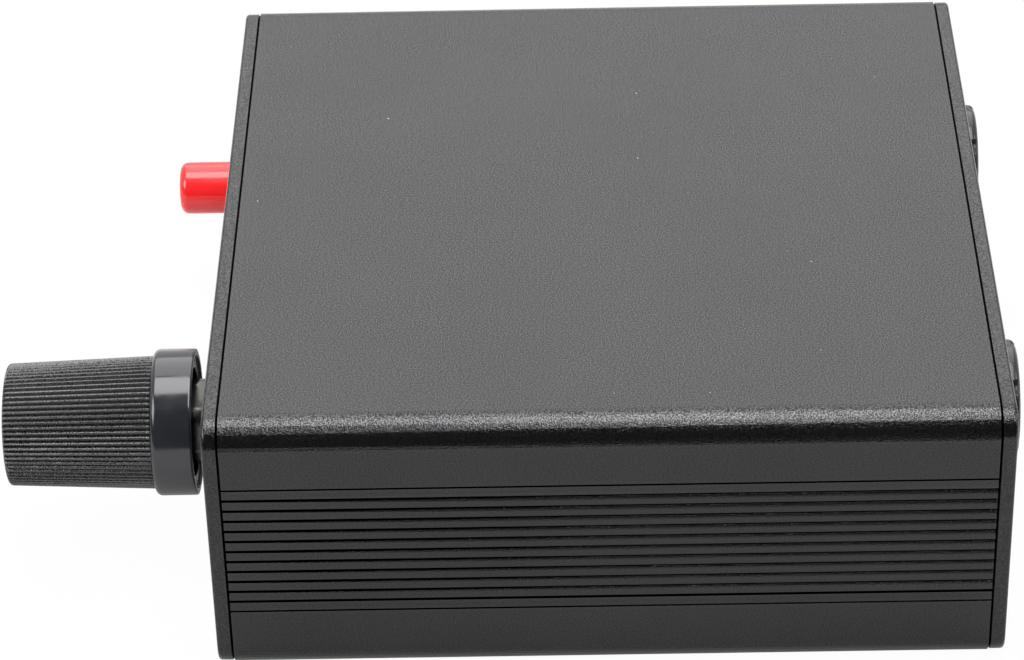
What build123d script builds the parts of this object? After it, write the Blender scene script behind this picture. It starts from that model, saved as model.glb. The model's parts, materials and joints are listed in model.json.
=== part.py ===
from build123d import *
import os
from math import cos, sin, sqrt, tau

# Acoustic guitar preamplifier: an extruded aluminium housing with two end plates, a volume
# control and a push switch at the front, two jack sockets and a power inlet at the rear.
# Millimetres. +X points to the right-hand side, -Y to the front plate, +Z up.
# The origin is the centre of the housing's flat underside.

os.makedirs("parts", exist_ok=True)

# Cuts run past the faces that they open by this much
overrun = 1.0

# Turned edges that are round in the real thing have this many flats
round_steps = 2

# Small and hidden round pieces are drawn with this many sides
small_sides = 12
hidden_sides = 24
washer_sides = 32

# Housing
housing_width = 96.0
housing_height = 36.0
housing_length = 90.0
corner_radius = 3.5
top_wall = 1.6
side_wall = 2.2
inner_corner_radius = 1.5

# Ribs along both sides of the housing
groove_count = 11
groove_pitch = 1.5
groove_width = 0.75
groove_depth = 0.6
rib_band_rise = 0.4
band_line_width = 0.25
band_line_depth = 0.25

# Screw channels in the housing's corners
channel_inset = 5.0
channel_radius = 3.0
channel_bore_radius = 1.4
channel_slot = 1.2

# Circuit board and the two slots that hold it
board_thickness = 1.6
board_channel_gap = 0.1
board_end_gap = 0.5
board_side_gap = 0.3
slot_clearance = 0.05
ledge_reach = 2.2
ledge_thickness = 1.2
lead_hole_width = 0.85
lead_width = 0.6
lead_below_board = 1.2

# End plates
plate_thickness = 2.0
plate_inset = 0.1
plate_edge_bevel = 0.4
button_hole_gap = 0.3
bushing_hole_gap = 0.1
nose_hole_gap = 0.1

# Plate screws
screw_length = 8.0
screw_head_radius = 2.75
screw_head_depth = 1.3
screw_radius = 1.35
screw_hole_radius = 1.6
countersink_gap = 0.05

# Volume control
control_from_side = 26.3
control_board_gap = 0.15
bushing_radius = 3.45
bushing_length = 7.4
shaft_radius = 3.0
shaft_clearance = 0.05
frame_radius = 7.6
frame_thickness = 1.6
wafer_thickness = 1.2
wafer_bore_gap = 0.3
cover_wall = 0.4
cover_gap = 0.15
cover_depth = 8.0
cover_rim_setback = 0.5
lug_pitch = 5.0
lug_notch_margin = 2.0
lug_shaft_gap = 2.4
wiper_radius = 6.0
wiper_thickness = 1.2
wiper_gap = 0.3
wiper_contact_width = 1.6
shaft_slot_width = 0.8
shaft_slot_length = 7.0
control_washer_radius = 5.6
control_washer_thickness = 0.8
control_washer_gap = 0.15
control_nut_width = 10.0
control_nut_thickness = 3.0
control_nut_chamfer = 0.5
control_nut_turn = 15
nut_sides = 6
nut_bore_gap = 0.02

# Knob
knob_gap = 3.5
knob_skirt_radius = 9.0
knob_skirt_length = 4.2
knob_skirt_round = 0.8
knob_base_chamfer = 0.25
knob_ring_radius = 8.2
knob_ring_step = 0.3
knob_hollow_radius = 6.7
knob_hollow_depth = 2.9
knob_body_length = 18.5
knob_root_radius = 8.16
knob_tip_radius = 7.5
rib_count = 72
rib_depth = 0.34
rib_land_share = 0.42
knob_bore_gap = 0.02
shaft_in_knob = 13.0
pointer_margin = 0.8
pointer_width = 0.8
pointer_depth = 0.4
pointer_length = 4.5

# Push switch
switch_from_side = 12.8
switch_rise = 5.3
button_radius = 3.48
button_out = 9.38
button_length = 10.6
button_edge_round = 0.75
stem_width = 3.2
stem_in_button = 6.5
collar_radius = 3.1
collar_thickness = 0.8
collar_setback = 1.2
switch_setback = 6.0
switch_width = 8.6
switch_length = 13.0
switch_wall = 1.0
stem_gap = 0.1
slider_width = 5.8
slider_height = 4.4
slider_length = 4.5
slider_gap = 0.3
bridge_width = 4.6
bridge_thickness = 0.5
bridge_inset = 0.4
switch_pin_pitch = 2.5
switch_pin_row_pitch = 5.0
switch_pin_rows = 3
spring_wire = 0.4
spring_radius = 2.7
spring_turns = 4
spring_steps_per_turn = 8
spring_end_gap = 0.05

# Jack sockets
jack_rise = 8.3
output_jack_wall_gap = 3.8
input_jack_inlet_gap = 4.5
jack_width = 16.0
jack_length = 24.0
jack_edge = 0.8
jack_bore_radius = 3.25
jack_bore_depth = 27.4
jack_nose_radius = 5.6
jack_nose_length = 4.8
jack_nose_bevel = 0.4
jack_washer_radius = 7.85
jack_washer_thickness = 0.4
jack_washer_gap = 0.2
jack_nut_radius = 7.5
jack_nut_thickness = 2.7
jack_nut_round = 0.8
jack_nut_notches = 6
jack_notch_width = 1.4
jack_notch_depth = 0.35
jack_notch_height = 1.0

# Contact springs in the jack sockets
leaf_thickness = 0.4
leaf_width = 3.2
leaf_length = 8.0
leaf_bend = 1.6
leaf_touch = 0.15
leaf_chamber_margin = 0.9
leaf_side = 6.6
tip_leaf_setback = 14.0
sleeve_leaf_setback = 5.2

# Power inlet
inlet_wall_gap = 4.3
inlet_rise = 6.5
inlet_width = 9.0
inlet_height = 11.0
inlet_length = 14.0
inlet_edge = 0.5
inlet_bore_radius = 3.15
inlet_bore_depth = 10.0
inlet_pin_radius = 1.05
inlet_pin_setback = 0.6
inlet_plate_radius = 3.9
inlet_leaf_width = 2.4
inlet_leaf_thickness = 0.4
inlet_leaf_length = 7.0
inlet_leaf_setback = 2.5
inlet_leaf_gap = 0.05

# Circuit
chip_length = 9.4
chip_width = 6.4
chip_height = 3.3
chip_standoff = 0.5
chip_edge = 0.35
chip_pin_pitch = 2.54
chip_row_pitch = 7.62
chip_pins_per_side = 4
chip_notch_radius = 0.8
chip_notch_depth = 0.3
chip_leg_thickness = 0.3
chip_leg_rise = 1.4
can_radius = 4.0
can_height = 11.5
can_bevel = 0.35
can_lead_pitch = 3.5
can_jack_gap = 3.65
can_pitch = 9.79
film_length = 7.2
film_thickness = 3.5
film_height = 8.0
film_edge = 0.3
film_lead_pitch = 5.0
resistor_radius = 1.2
resistor_sides = 8
resistor_length = 6.3
resistor_lead_pitch = 10.0
resistor_gap = 0.3

# Columns of the circuit across the board
chip_column = 0.9
can_column_from_edge = 17.3
film_column = -7.3
near_resistor_column = 12.7
far_resistor_column = -19.1

# Rows of the circuit along the board, as shares of half its length
chip_row_share = -0.12
film_row_shares = (0.22, 0.36, -0.48)
near_resistor_row_shares = (-0.30, -0.22, -0.14, -0.06)
far_resistor_row_shares = (-0.14, -0.06)

# Places worked out from the sizes above
front_inside = -housing_length / 2
front_outside = front_inside - plate_thickness
rear_inside = housing_length / 2
rear_outside = rear_inside + plate_thickness
middle_height = housing_height / 2
board_underside = channel_inset + channel_radius + board_channel_gap
board_top = board_underside + board_thickness
board_width = housing_width - 2 * side_wall - 2 * board_side_gap
board_length = housing_length - 2 * board_end_gap
screw_x = housing_width / 2 - channel_inset
screw_heights = (channel_inset, housing_height - channel_inset)
cover_radius = frame_radius + cover_gap + cover_wall
control_x = housing_width / 2 - control_from_side
control_height = board_top + control_board_gap + cover_radius
switch_x = switch_from_side - housing_width / 2
switch_height = board_top + switch_rise
jack_height = board_top + jack_rise
inlet_x = housing_width / 2 - side_wall - inlet_wall_gap - inlet_width / 2
input_jack_x = inlet_x - inlet_width / 2 - input_jack_inlet_gap - jack_width / 2
output_jack_x = side_wall + output_jack_wall_gap + jack_width / 2 - housing_width / 2
jack_places = {"input_jack": input_jack_x, "output_jack": output_jack_x}
inlet_height_centre = board_top + inlet_rise
bore_of_frame = shaft_radius + shaft_clearance


def alongY(outline, start, end):
    """A solid from an outline drawn in X and Z, running from start to end along Y."""
    return extrude(Plane.XZ.offset(-start) * outline, amount=start - end)


def upright(outline, start, end):
    """A solid from an outline drawn in X and Y, running from start to end along Z."""
    return extrude(Plane.XY.offset(start) * outline, amount=end - start)


def rod(radius, x, z, start, end):
    return alongY(Pos(x, z) * Circle(radius), start, end)


def turned(points, x, z):
    """A solid turned about the Y line through x and z, from (radius, Y) points."""
    outline = make_face(Polyline(*points, close=True))
    return Pos(x, 0, z) * revolve(outline, axis=Axis.Y)


def prism(radius, sides, x, z, start, end):
    return alongY(Pos(x, z) * RegularPolygon(radius, sides), start, end)


def taper(start_radius, end_radius, x, z, start, end):
    """A cone along Y, drawn with flat sides."""
    ends = [Plane.XZ.offset(-y) * (Pos(x, z) * RegularPolygon(radius, small_sides))
            for radius, y in ((start_radius, start), (end_radius, end))]
    return loft(ends, ruled=True)


def roundCorner(edge, end, radius, way):
    """The (radius, Y) points of a round at the corner of a turned piece's side and its end face."""
    quarter = tau / 4
    points = []
    for step in range(round_steps + 1):
        angle = quarter * step / round_steps
        points.append((edge - radius + radius * cos(angle), end + way * (radius - radius * sin(angle))))
    return points


def save(shape, node):
    export_step(shape, f"parts/{node}.step")


# Housing

def grooveHeights():
    first = middle_height + rib_band_rise - (groove_count - 1) * groove_pitch / 2
    return [first + step * groove_pitch for step in range(groove_count)]


def sideGroove(side, height, width, depth):
    reach = depth + overrun
    x = side * (housing_width / 2 - depth + reach / 2)
    return Pos(x, height) * Rectangle(reach, width)


def slotLedges(side):
    inner = housing_width / 2 - side_wall
    low = board_underside - slot_clearance - ledge_thickness / 2
    high = board_top + slot_clearance + ledge_thickness / 2
    reach = ledge_reach + side_wall / 2
    x = side * (inner - ledge_reach + reach / 2)
    return [Pos(x, z) * Rectangle(reach, ledge_thickness) for z in (low, high)]


def makeHousing():
    outer = Pos(0, middle_height) * RectangleRounded(housing_width, housing_height, corner_radius)
    cavity_width = housing_width - 2 * side_wall
    cavity_height = housing_height - 2 * top_wall
    cavity = Pos(0, middle_height) * RectangleRounded(cavity_width, cavity_height, inner_corner_radius)
    profile = outer - cavity
    for side in (-1, 1):
        profile += slotLedges(side)
        for z in screw_heights:
            profile += outer & (Pos(side * screw_x, z) * Circle(channel_radius))
    for side in (-1, 1):
        for z in screw_heights:
            profile -= Pos(side * screw_x, z) * Circle(channel_bore_radius)
            slot_middle = side * (screw_x - channel_radius)
            profile -= Pos(slot_middle, z) * Rectangle(2 * channel_radius, channel_slot)
        heights = grooveHeights()
        for z in heights:
            profile -= sideGroove(side, z, groove_width, groove_depth)
        for z in (heights[0] - groove_pitch, heights[-1] + groove_pitch):
            profile -= sideGroove(side, z, band_line_width, band_line_depth)
    return alongY(profile, front_inside, rear_inside)


# End plates and their screws

def plateBlank(inside, outside):
    width = housing_width - 2 * plate_inset
    height = housing_height - 2 * plate_inset
    outline = Pos(0, middle_height) * RectangleRounded(width, height, corner_radius - plate_inset)
    blank = alongY(outline, inside, outside)
    outer_face = blank.faces().sort_by(Axis.Y)[0 if outside < inside else -1]
    return chamfer(outer_face.edges(), plate_edge_bevel)


def screwSink(x, z, outside, way):
    """The clearance hole and the countersink for one plate screw."""
    hole = prism(screw_hole_radius, small_sides, x, z, outside, outside + way * (plate_thickness + overrun))
    sink = taper(screw_head_radius + countersink_gap, screw_hole_radius, x, z,
                 outside, outside + way * screw_head_depth)
    return hole + sink


def makeFrontPlate():
    plate = plateBlank(front_inside, front_outside)
    for side in (-1, 1):
        for z in screw_heights:
            plate -= screwSink(side * screw_x, z, front_outside, 1)
    hole_ends = (front_outside - overrun, front_inside + overrun)
    plate -= rod(bushing_radius + bushing_hole_gap, control_x, control_height, *hole_ends)
    plate -= rod(button_radius + button_hole_gap, switch_x, switch_height, *hole_ends)
    return plate


def makeRearPlate():
    plate = plateBlank(rear_inside, rear_outside)
    for side in (-1, 1):
        for z in screw_heights:
            plate -= screwSink(side * screw_x, z, rear_outside, -1)
    hole_ends = (rear_inside - overrun, rear_outside + overrun)
    for x in jack_places.values():
        plate -= rod(jack_nose_radius + nose_hole_gap, x, jack_height, *hole_ends)
    plate -= rod(inlet_plate_radius, inlet_x, inlet_height_centre, *hole_ends)
    return plate


def plateScrew(x, z, outside, way):
    head = taper(screw_head_radius, screw_radius, x, z, outside, outside + way * screw_head_depth)
    return head + prism(screw_radius, small_sides, x, z, outside, outside + way * screw_length)


def makeScrews(outside, way):
    return Compound(children=[
        plateScrew(side * screw_x, z, outside, way) for side in (-1, 1) for z in screw_heights])


# Volume control

def makeBushing():
    flange_back = front_inside + frame_thickness
    outer_end = front_inside - bushing_length
    frame = prism(frame_radius, hidden_sides, control_x, control_height, front_inside, flange_back)
    neck = rod(bushing_radius, control_x, control_height, outer_end, front_inside)
    bore = rod(bore_of_frame, control_x, control_height, outer_end - overrun, flange_back + overrun)
    return frame + neck - bore


def waferBack():
    return front_inside + frame_thickness + wafer_thickness


def makeWafer():
    start = front_inside + frame_thickness
    wafer = prism(frame_radius, hidden_sides, control_x, control_height, start, waferBack())
    bore = prism(shaft_radius + wafer_bore_gap, hidden_sides, control_x, control_height,
                 start - overrun, waferBack() + overrun)
    wafer -= bore
    for x in lugColumns():
        wafer -= lugBox(x, board_top)
    return wafer


def lugColumns():
    return [control_x + step * lug_pitch for step in (-1, 0, 1)]


def lugBox(x, low):
    """A lug's flat strip, standing in the wafer's back face and reaching down to low."""
    top = control_height - shaft_radius - lug_shaft_gap
    y = waferBack() - lead_width / 2
    return upright(Pos(x, y) * Rectangle(lead_width, lead_width), low, top)


def makeControlLugs():
    return Compound(children=[lugBox(x, board_underside - lead_below_board) for x in lugColumns()])


def coverBack():
    return front_inside + cover_rim_setback + cover_depth


def makeCover():
    rim = front_inside + cover_rim_setback
    inner_radius = frame_radius + cover_gap
    cover = prism(inner_radius + cover_wall, hidden_sides, control_x, control_height, rim, coverBack())
    cover = chamfer(cover.faces().sort_by(Axis.Y)[-1].edges(), cover_wall)
    cover -= prism(inner_radius, hidden_sides, control_x, control_height,
                   rim - overrun, coverBack() - cover_wall)
    notch_width = 2 * lug_pitch + 2 * lug_notch_margin
    notch = Pos(control_x, control_height - frame_radius) * Rectangle(notch_width, frame_radius)
    cover -= alongY(notch, rim - overrun, waferBack() + cover_wall)
    return cover


def makeWiper():
    start = waferBack() + wiper_gap
    wiper = prism(wiper_radius, hidden_sides, control_x, control_height, start, start + wiper_thickness)
    window = Pos(control_x, control_height + wiper_radius / 2) * Rectangle(wiper_radius, wiper_radius / 2)
    wiper -= alongY(window, start - overrun, start + wiper_thickness + overrun)
    arm_middle = Pos(control_x, control_height + wiper_radius / 2)
    arm = arm_middle * Rectangle(wiper_contact_width, wiper_radius / 2)
    wiper += alongY(arm, start, start + wiper_thickness)
    bore = rod(shaft_radius, control_x, control_height, start - overrun, start + wiper_thickness + overrun)
    return wiper - bore


def knobBase():
    return front_outside - knob_gap


def shaftOuterEnd():
    return knobBase() - shaft_in_knob


def makeShaft():
    inner_end = waferBack() + wiper_gap + wiper_thickness
    shaft = rod(shaft_radius, control_x, control_height, shaftOuterEnd(), inner_end)
    slot = Pos(control_x, control_height) * Rectangle(shaft_slot_width, 2 * shaft_radius + overrun)
    return shaft - alongY(slot, shaftOuterEnd() - overrun, shaftOuterEnd() + shaft_slot_length)


def makeControlWasher():
    ends = (front_outside - control_washer_thickness, front_outside)
    washer = prism(control_washer_radius, hidden_sides, control_x, control_height, *ends)
    return washer - prism(bushing_radius + control_washer_gap, hidden_sides, control_x, control_height,
                          ends[0] - overrun, ends[1] + overrun)


def makeControlNut():
    seat = front_outside - control_washer_thickness
    face = seat - control_nut_thickness
    hexagon = RegularPolygon(control_nut_width / 2, nut_sides, major_radius=False, rotation=control_nut_turn)
    nut = alongY(Pos(control_x, control_height) * hexagon, face, seat)
    corner = control_nut_width / sqrt(3)
    inset = corner - control_nut_chamfer
    bevel = turned(
        [(0, face), (inset, face), (corner, face + control_nut_chamfer),
         (corner, seat - control_nut_chamfer), (inset, seat), (0, seat)],
        control_x, control_height)
    bore = rod(bushing_radius + nut_bore_gap, control_x, control_height, face - overrun, seat + overrun)
    return (nut & bevel) - bore


# Knob

def ribbedOutline(radius):
    """The knob's ribs seen end on: lands at the full radius and a groove between each two."""
    points = []
    pitch = tau / rib_count
    for rib in range(rib_count):
        for share, reach in (
                (-rib_land_share / 2, radius), (rib_land_share / 2, radius), (1 / 2, radius - rib_depth)):
            angle = (rib + share) * pitch
            points.append((reach * cos(angle), reach * sin(angle)))
    return make_face(Polyline(*points, close=True))


def makeKnob():
    base = knobBase()
    skirt_top = base - knob_skirt_length
    tip = skirt_top - knob_body_length
    outer = knob_skirt_radius
    ring_floor = base - knob_ring_step
    skirt = turned(
        [(0, ring_floor), (knob_ring_radius, ring_floor), (knob_ring_radius, base),
         (outer - knob_base_chamfer, base), (outer, base - knob_base_chamfer),
         *roundCorner(outer, skirt_top, knob_skirt_round, 1), (0, skirt_top)],
        control_x, control_height)
    root_plane = Plane.XZ.offset(-skirt_top) * Pos(control_x, control_height)
    tip_plane = Plane.XZ.offset(-tip) * Pos(control_x, control_height)
    ribs = loft([root_plane * ribbedOutline(knob_root_radius), tip_plane * ribbedOutline(knob_tip_radius)],
                ruled=True)
    knob = skirt + ribs
    knob -= rod(knob_hollow_radius, control_x, control_height, base - knob_hollow_depth, base + overrun)
    knob -= rod(shaft_radius + knob_bore_gap, control_x, control_height, shaftOuterEnd(), base)
    pointer_middle = control_height + knob_tip_radius - pointer_margin - pointer_length / 2
    pointer = Pos(control_x, pointer_middle) * Rectangle(pointer_width, pointer_length)
    return knob - alongY(pointer, tip - overrun, tip + pointer_depth)


# Push switch

def buttonBack():
    return front_outside - button_out + button_length


def makeButton():
    tip = front_outside - button_out
    button = turned(
        [(0, buttonBack()), (button_radius, buttonBack()),
         *roundCorner(button_radius, tip, button_edge_round, 1), (0, tip)],
        switch_x, switch_height)
    socket = Pos(switch_x, switch_height) * Rectangle(stem_width, stem_width)
    return button - alongY(socket, buttonBack() - stem_in_button, buttonBack() + overrun)


def switchFront():
    return front_inside + switch_setback


def switchBack():
    return switchFront() + switch_length


def collarBack():
    return buttonBack() + collar_setback + collar_thickness


def sliderStart():
    return switchFront() + switch_wall + slider_gap


def makePlunger():
    stem = Pos(switch_x, switch_height) * Rectangle(stem_width, stem_width)
    slider = Pos(switch_x, switch_height) * Rectangle(slider_width, slider_height)
    collar_start = collarBack() - collar_thickness
    plunger = alongY(stem, buttonBack() - stem_in_button, sliderStart() + slider_length)
    plunger += prism(collar_radius, hidden_sides, switch_x, switch_height, collar_start, collarBack())
    return plunger + alongY(slider, sliderStart(), sliderStart() + slider_length)


def makeBridge():
    low = switch_height - slider_height / 2 - bridge_thickness
    middle = Pos(switch_x, low + bridge_thickness / 2)
    bridge = alongY(middle * Rectangle(bridge_width, bridge_thickness),
                    sliderStart() + bridge_inset, sliderStart() + slider_length - bridge_inset)
    return bridge


def switchPinPlaces():
    middle = (switchFront() + switchBack()) / 2
    rows = [(row - (switch_pin_rows - 1) / 2) * switch_pin_pitch for row in range(switch_pin_rows)]
    return [(switch_x + side * switch_pin_row_pitch / 2, middle + row) for side in (-1, 1) for row in rows]


def pinAt(x, y, low, high):
    return upright(Pos(x, y) * Rectangle(lead_width, lead_width), low, high)


def makeSwitchPins():
    low = board_underside - lead_below_board
    return Compound(children=[pinAt(x, y, low, board_top + switch_wall) for x, y in switchPinPlaces()])


def makeSwitchBody():
    height = 2 * switch_rise
    outline = Pos(switch_x, switch_height) * Rectangle(switch_width, height)
    body = alongY(outline, switchFront(), switchBack())
    inner_outline = Rectangle(switch_width - 2 * switch_wall, height - 2 * switch_wall)
    chamber = Pos(switch_x, switch_height) * inner_outline
    body -= alongY(chamber, switchFront() + switch_wall, switchBack() - switch_wall)
    mouth_width = stem_width + 2 * stem_gap
    mouth = Pos(switch_x, switch_height) * Rectangle(mouth_width, mouth_width)
    body -= alongY(mouth, switchFront() - overrun, switchFront() + switch_wall + overrun)
    for x, y in switchPinPlaces():
        body -= pinAt(x, y, board_top - overrun, board_top + switch_wall)
    return body


def makeSpring():
    """The return spring, wound round the plunger's stem from its collar to the switch's face."""
    start = collarBack() + spring_end_gap
    rise = switchFront() - spring_end_gap - start - spring_wire
    sections = []
    steps = spring_turns * spring_steps_per_turn
    for step in range(steps + 1):
        angle = 360 * step / spring_steps_per_turn
        y = start + spring_wire / 2 + rise * step / steps
        place = Pos(switch_x, y, switch_height) * Rot(0, angle, 0) * Pos(spring_radius, 0, 0)
        sections.append(place * Rectangle(spring_wire, spring_wire))
    return loft(sections, ruled=True)


# Jack sockets

def leafOutline(side, setback):
    """A leaf spring in X and Y: a flat tail along the socket's wall and a bend to the plug."""
    outer = side * leaf_side
    inner = side * (leaf_side - leaf_thickness)
    near = rear_inside - setback
    far = near - leaf_length
    touch = side * (jack_bore_radius - leaf_touch)
    touch_outer = touch + side * leaf_thickness
    middle = far + leaf_bend
    return make_face(Polyline(
        (outer, near), (outer, middle + leaf_bend), (touch_outer, middle), (outer - side * leaf_bend, far),
        (inner - side * leaf_bend, far), (touch, middle), (inner, middle + leaf_bend), (inner, near),
        close=True))


def makeLeaf(x, side, setback):
    low = jack_height - leaf_width / 2
    leaf = upright(Pos(x, 0) * leafOutline(side, setback), low, low + leaf_width)
    tail_x = x + side * (leaf_side - leaf_thickness / 2)
    tail_y = rear_inside - setback - lead_width / 2
    tail_low = board_underside - lead_below_board
    return leaf + upright(Pos(tail_x, tail_y) * Rectangle(leaf_thickness, lead_width), tail_low, low)


def leafTailPlaces():
    return [(x + side * (leaf_side - leaf_thickness / 2), rear_inside - setback - lead_width / 2)
            for x in jack_places.values()
            for side, setback in ((1, tip_leaf_setback), (-1, sleeve_leaf_setback))]


def makeJackBody(x):
    height = 2 * (jack_height - board_top)
    outline = Pos(x, jack_height) * Rectangle(jack_width, height)
    body = alongY(outline, rear_inside - jack_length, rear_inside)
    body = chamfer(body.edges().filter_by(Axis.Y), jack_edge)
    nose_end = rear_outside + jack_nose_length - plate_thickness
    body += turned(
        [(0, rear_inside), (jack_nose_radius, rear_inside), (jack_nose_radius, nose_end - jack_nose_bevel),
         (jack_nose_radius - jack_nose_bevel, nose_end), (0, nose_end)],
        x, jack_height)
    body -= rod(jack_bore_radius, x, jack_height, nose_end - jack_bore_depth, nose_end + overrun)
    chamber_height = leaf_width + 2 * leaf_chamber_margin
    low = jack_height - chamber_height / 2
    for side, setback in ((1, tip_leaf_setback), (-1, sleeve_leaf_setback)):
        near = rear_inside - setback + leaf_chamber_margin
        far = rear_inside - setback - leaf_length - leaf_chamber_margin
        width = leaf_side + leaf_chamber_margin
        outline = Pos(x + side * width / 2, (near + far) / 2) * Rectangle(width, near - far)
        body -= upright(outline, low, low + chamber_height)
        tail_x = x + side * (leaf_side - leaf_thickness / 2)
        tail_y = rear_inside - setback - lead_width / 2
        body -= upright(Pos(tail_x, tail_y) * Rectangle(leaf_thickness, lead_width), board_top - overrun, low)
    return body


def makeJackWasher(x):
    ends = (rear_outside, rear_outside + jack_washer_thickness)
    washer = prism(jack_washer_radius, washer_sides, x, jack_height, *ends)
    return washer - prism(jack_nose_radius + jack_washer_gap, washer_sides, x, jack_height,
                          ends[0] - overrun, ends[1] + overrun)


def makeJackNut(x):
    seat = rear_outside + jack_washer_thickness
    face = seat + jack_nut_thickness
    nut = turned(
        [(0, seat), (jack_nut_radius, seat),
         *roundCorner(jack_nut_radius, face, jack_nut_round, -1), (0, face)],
        x, jack_height)
    reach = jack_notch_depth + overrun
    for step in range(jack_nut_notches):
        angle = 360 * (step + 0.5) / jack_nut_notches
        middle = jack_nut_radius - jack_notch_depth + reach / 2
        bar = Rot(0, 0, angle) * Pos(middle, 0) * Rectangle(reach, jack_notch_width)
        nut -= alongY(Pos(x, jack_height) * bar, face - jack_notch_height, face + overrun)
    return nut - rod(jack_nose_radius + nut_bore_gap, x, jack_height, seat - overrun, face + overrun)


# Power inlet

def inletLeafBox(gap):
    """The sleeve contact's flat leaf beside the inlet's bore, grown by gap on every side."""
    x = inlet_x - inlet_bore_radius - inlet_leaf_thickness / 2
    near = rear_inside - inlet_leaf_setback + gap
    far = rear_inside - inlet_leaf_setback - inlet_leaf_length - gap
    width = inlet_leaf_thickness + 2 * gap
    low = inlet_height_centre - inlet_leaf_width / 2 - gap
    outline = Pos(x, (near + far) / 2) * Rectangle(width, near - far)
    return upright(outline, low, low + inlet_leaf_width + 2 * gap)


def inletPinPlaces():
    back = rear_inside - inlet_length
    leaf_x = inlet_x - inlet_bore_radius - inlet_leaf_thickness / 2
    leaf_y = rear_inside - inlet_leaf_setback - inlet_leaf_length / 2
    return [(inlet_x, back - lead_width / 2), (leaf_x, leaf_y)]


def makeInletBody():
    middle = board_top + inlet_height / 2
    outline = Pos(inlet_x, middle) * Rectangle(inlet_width, inlet_height)
    body = alongY(outline, rear_inside - inlet_length, rear_inside)
    body = chamfer(body.edges().filter_by(Axis.Y).sort_by(Axis.Z)[-2:], inlet_edge)
    body -= rod(inlet_bore_radius, inlet_x, inlet_height_centre,
                rear_inside - inlet_bore_depth, rear_inside + overrun)
    body -= rod(inlet_pin_radius, inlet_x, inlet_height_centre, rear_inside - inlet_length - overrun,
                rear_inside - inlet_bore_depth)
    body -= inletLeafBox(inlet_leaf_gap)
    x, y = inletPinPlaces()[1]
    body -= pinAt(x, y, board_top - overrun, inlet_height_centre)
    return body


def makeInletPin():
    back = rear_inside - inlet_length
    pin = rod(inlet_pin_radius, inlet_x, inlet_height_centre, back, rear_inside - inlet_pin_setback)
    x, y = inletPinPlaces()[0]
    tail = pinAt(x, y, board_underside - lead_below_board, inlet_height_centre + inlet_pin_radius)
    return pin + tail


def makeInletLeaf():
    x, y = inletPinPlaces()[1]
    return inletLeafBox(0) + pinAt(x, y, board_underside - lead_below_board, inlet_height_centre)


# Circuit

def atRows(column, shares):
    return [(column, share * board_length / 2) for share in shares]


def chipPlace():
    return atRows(chip_column, (chip_row_share,))[0]


def canPlaces():
    x = board_width / 2 - can_column_from_edge
    near_jack = rear_inside - jack_length - can_jack_gap - can_radius
    return [(x, near_jack), (x, near_jack - can_pitch)]


def filmPlaces():
    return atRows(film_column, film_row_shares)


def resistorPlaces():
    return (atRows(near_resistor_column, near_resistor_row_shares)
            + atRows(far_resistor_column, far_resistor_row_shares))


def chipLegPlaces():
    x, y = chipPlace()
    first = -(chip_pins_per_side - 1) * chip_pin_pitch / 2
    return [(x + side * chip_row_pitch / 2, y + first + step * chip_pin_pitch)
            for side in (-1, 1) for step in range(chip_pins_per_side)]


def makeChip():
    x, y = chipPlace()
    low = board_top + chip_standoff
    chip = upright(Pos(x, y) * Rectangle(chip_width, chip_length), low, low + chip_height)
    chip = chamfer(chip.edges().filter_by(Axis.Z), chip_edge)
    notch = Pos(x, y - chip_length / 2) * Circle(chip_notch_radius)
    return chip - upright(notch, low + chip_height - chip_notch_depth, low + chip_height + overrun)


def makeChipLegs():
    x, y = chipPlace()
    legs = []
    shoulder = board_top + chip_standoff + chip_leg_rise
    for leg_x, leg_y in chipLegPlaces():
        side = 1 if leg_x > x else -1
        leg = pinAt(leg_x, leg_y, board_underside - lead_below_board, shoulder)
        inner = x + side * chip_width / 2
        outer = leg_x + side * lead_width / 2
        arm = Pos((inner + outer) / 2, leg_y) * Rectangle(abs(outer - inner), lead_width)
        legs.append(leg + upright(arm, shoulder - chip_leg_thickness, shoulder))
    return Compound(children=legs)


def makeCan(x, y):
    can = upright(Pos(x, y) * RegularPolygon(can_radius, hidden_sides), board_top, board_top + can_height)
    return chamfer(can.faces().sort_by(Axis.Z)[-1].edges(), can_bevel)


def makeFilm(x, y):
    box = upright(Pos(x, y) * Rectangle(film_length, film_thickness), board_top, board_top + film_height)
    return chamfer(box.faces().sort_by(Axis.Z)[-1].edges(), film_edge)


def resistorHeight():
    return board_top + resistor_gap + resistor_radius


def makeResistor(x, y):
    start = x - resistor_length / 2
    ends = Plane.YZ.offset(start) * (Pos(y, resistorHeight()) * RegularPolygon(resistor_radius, resistor_sides))
    wire = Plane.YZ.offset(start - overrun) * (Pos(y, resistorHeight()) * Rectangle(lead_width, lead_width))
    body = extrude(ends, amount=resistor_length)
    return body - extrude(wire, amount=resistor_length + 2 * overrun)


def resistorLead(x, y):
    """One bent wire through a resistor: two legs and the span between them."""
    low = board_underside - lead_below_board
    top = resistorHeight() + lead_width / 2
    width = resistor_lead_pitch + lead_width
    outer = Pos(x, (low + top) / 2) * Rectangle(width, top - low)
    inner_top = top - lead_width
    gap_low = low - overrun
    inner = Pos(x, (gap_low + inner_top) / 2) * Rectangle(resistor_lead_pitch - lead_width, inner_top - gap_low)
    return alongY(outer - inner, y - lead_width / 2, y + lead_width / 2)


def pairOf(x, y, pitch):
    return [(x + side * pitch / 2, y) for side in (-1, 1)]


def standingLeadPlaces():
    places = []
    for x, y in canPlaces():
        places += pairOf(x, y, can_lead_pitch)
    for x, y in filmPlaces():
        places += pairOf(x, y, film_lead_pitch)
    return places


def makeComponentLeads():
    low = board_underside - lead_below_board
    leads = [pinAt(x, y, low, board_top) for x, y in standingLeadPlaces()]
    leads += [resistorLead(x, y) for x, y in resistorPlaces()]
    return Compound(children=leads)


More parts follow.
